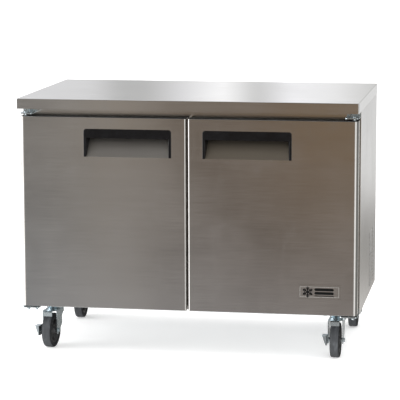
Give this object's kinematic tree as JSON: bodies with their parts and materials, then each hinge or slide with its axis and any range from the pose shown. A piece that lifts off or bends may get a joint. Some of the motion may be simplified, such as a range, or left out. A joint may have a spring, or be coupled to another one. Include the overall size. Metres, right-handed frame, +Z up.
{
  "type": "undercounter refrigerator",
  "caption": "Undercounter refrigerator with hinged stainless doors, recessed pulls, flat worktop, rear machine bay and swivel casters.",
  "frame": {"origin": "on the floor, under the middle of the worktop's footprint", "axes": "+X to the right across the doors, +Y to the back, +Z up"},
  "size_m": [1.224, 0.756, 0.93],
  "materials": {
    "badge_metal": "satin plate",
    "black_enamel": "black enamel",
    "black_plastic": "moulded, lightly textured",
    "coated_wire": "coated steel wire",
    "coil_fins": "thin fins",
    "copper": "drawn copper",
    "fan_plastic": "moulded",
    "galvanised_steel": "dull galvanised",
    "grey_plastic": "moulded",
    "painted_housing": "white enamel",
    "rigid_foam": "rigid insulation foam",
    "seal_rubber": "soft vinyl seal",
    "stainless_exterior": "brushed stainless, satin",
    "stainless_interior": "satin stainless",
    "wheel_rubber": "dark rubber",
    "zinc_plate": "bright zinc plated"
  },
  "bodies": {
    "cabinet": {"worktop": "stainless_exterior", "worktop_backer": "galvanised_steel", "side_panel_left": "stainless_exterior", "side_panel_right": "stainless_exterior", "rear_panel": "galvanised_steel", "base_panel": "galvanised_steel", "inner_liner": "stainless_interior", "cabinet_foam": "rigid_foam", "front_frame": "stainless_interior", "center_mullion": "stainless_interior", "rear_grille": "galvanised_steel", "cord_gland": "black_plastic", "shelf_pilasters": "stainless_interior", "shelf_clips": "zinc_plate", "evaporator_cover": "painted_housing", "evaporator_coil": "coil_fins", "fan_motors": "black_enamel", "thermostat_box": "grey_plastic", "compressor": "black_enamel", "condenser_coil": "coil_fins", "condenser_shroud": "galvanised_steel", "filter_drier": "copper", "refrigerant_lines": "copper", "drain_pan": "grey_plastic", "hinge_brackets_top": "zinc_plate", "hinge_brackets_bottom": "zinc_plate", "pan_head_screws": "zinc_plate", "caster_rails": "galvanised_steel", "caster_top_plates": "zinc_plate", "caster_bolts": "zinc_plate"},
    "door_left": {"door_skin_left": "stainless_exterior", "door_foam_left": "rigid_foam", "door_liner_left": "stainless_interior", "door_gasket_left": "seal_rubber", "handle_grip_left": "black_plastic", "handle_scoop_left": "stainless_exterior", "hinge_bushes_left": "grey_plastic"},
    "shelf_left": {"shelf_left": "coated_wire"},
    "door_right": {"door_skin_right": "stainless_exterior", "door_foam_right": "rigid_foam", "door_liner_right": "stainless_interior", "door_gasket_right": "seal_rubber", "handle_grip_right": "black_plastic", "handle_scoop_right": "stainless_exterior", "hinge_bushes_right": "grey_plastic", "badge_plate": "badge_metal"},
    "shelf_right": {"shelf_right": "coated_wire"},
    "evaporator_fan": {"evaporator_fan": "fan_plastic"},
    "condenser_fan": {"condenser_fan": "fan_plastic"},
    "thermostat_knob": {"thermostat_knob": "black_plastic"},
    "fork_front_left": {"caster_fork_front_left": "zinc_plate"},
    "wheel_front_left": {"caster_wheel_front_left": "wheel_rubber"},
    "pedal_front_left": {"brake_pedal_front_left": "zinc_plate"},
    "fork_front_right": {"caster_fork_front_right": "zinc_plate"},
    "wheel_front_right": {"caster_wheel_front_right": "wheel_rubber"},
    "pedal_front_right": {"brake_pedal_front_right": "zinc_plate"},
    "fork_rear_left": {"caster_fork_rear_left": "zinc_plate"},
    "wheel_rear_left": {"caster_wheel_rear_left": "wheel_rubber"},
    "fork_rear_right": {"caster_fork_rear_right": "zinc_plate"},
    "wheel_rear_right": {"caster_wheel_rear_right": "wheel_rubber"}
  },
  "joints": [
    {"name": "door_left_hinge", "type": "hinge", "parent": "cabinet", "child": "door_left", "pos_m": [-0.592, -0.32, 0.52], "axis": [0, 0, -1], "range_deg": [0, 115], "stiffness_Nm_per_rad": 2, "springref_deg": -17.19},
    {"name": "door_right_hinge", "type": "hinge", "parent": "cabinet", "child": "door_right", "pos_m": [0.592, -0.32, 0.52], "axis": [0, 0, 1], "range_deg": [0, 115], "stiffness_Nm_per_rad": 2, "springref_deg": -17.19},
    {"name": "shelf_left_lift", "type": "slide", "parent": "cabinet", "child": "shelf_left", "axis": [0, 0, 1], "range_m": [0, 0.04]},
    {"name": "shelf_right_lift", "type": "slide", "parent": "cabinet", "child": "shelf_right", "axis": [0, 0, 1], "range_m": [0, 0.04]},
    {"name": "evaporator_fan_spin", "type": "hinge", "parent": "cabinet", "child": "evaporator_fan", "pos_m": [0, 0.204, 0.762], "axis": [0, 1, 0], "continuous": true},
    {"name": "condenser_fan_spin", "type": "hinge", "parent": "cabinet", "child": "condenser_fan", "pos_m": [0.478, 0.237, 0.28], "axis": [1, 0, 0], "continuous": true},
    {"name": "thermostat_turn", "type": "hinge", "parent": "cabinet", "child": "thermostat_knob", "pos_m": [0.4, 0.28, 0.77], "axis": [0, -1, 0], "range_deg": [-135, 135]},
    {"name": "swivel_front_left", "type": "hinge", "parent": "cabinet", "child": "fork_front_left", "pos_m": [-0.524, -0.215, 0.1402], "axis": [0, 0, 1], "continuous": true},
    {"name": "axle_front_left", "type": "hinge", "parent": "fork_front_left", "child": "wheel_front_left", "pos_m": [-0.52714, -0.25086, 0.0635], "axis": [0.9962, -0.0872, 0], "continuous": true},
    {"name": "brake_front_left", "type": "hinge", "parent": "fork_front_left", "child": "pedal_front_left", "pos_m": [-0.52714, -0.25086, 0.0635], "axis": [0.9962, -0.0872, 0], "range_deg": [0, 35]},
    {"name": "swivel_front_right", "type": "hinge", "parent": "cabinet", "child": "fork_front_right", "pos_m": [0.524, -0.215, 0.1402], "axis": [0, 0, 1], "continuous": true},
    {"name": "axle_front_right", "type": "hinge", "parent": "fork_front_right", "child": "wheel_front_right", "pos_m": [0.524, -0.251, 0.0635], "axis": [1, 0, 0], "continuous": true},
    {"name": "brake_front_right", "type": "hinge", "parent": "fork_front_right", "child": "pedal_front_right", "pos_m": [0.524, -0.251, 0.0635], "axis": [1, 0, 0], "range_deg": [0, 35]},
    {"name": "swivel_rear_left", "type": "hinge", "parent": "cabinet", "child": "fork_rear_left", "pos_m": [-0.538, 0.314, 0.1402], "axis": [0, 0, 1], "continuous": true},
    {"name": "axle_rear_left", "type": "hinge", "parent": "fork_rear_left", "child": "wheel_rear_left", "pos_m": [-0.538, 0.278, 0.0635], "axis": [1, 0, 0], "continuous": true},
    {"name": "swivel_rear_right", "type": "hinge", "parent": "cabinet", "child": "fork_rear_right", "pos_m": [0.538, 0.314, 0.1402], "axis": [0, 0, 1], "continuous": true},
    {"name": "axle_rear_right", "type": "hinge", "parent": "fork_rear_right", "child": "wheel_rear_right", "pos_m": [0.538, 0.278, 0.0635], "axis": [1, 0, 0], "continuous": true}
  ]
}
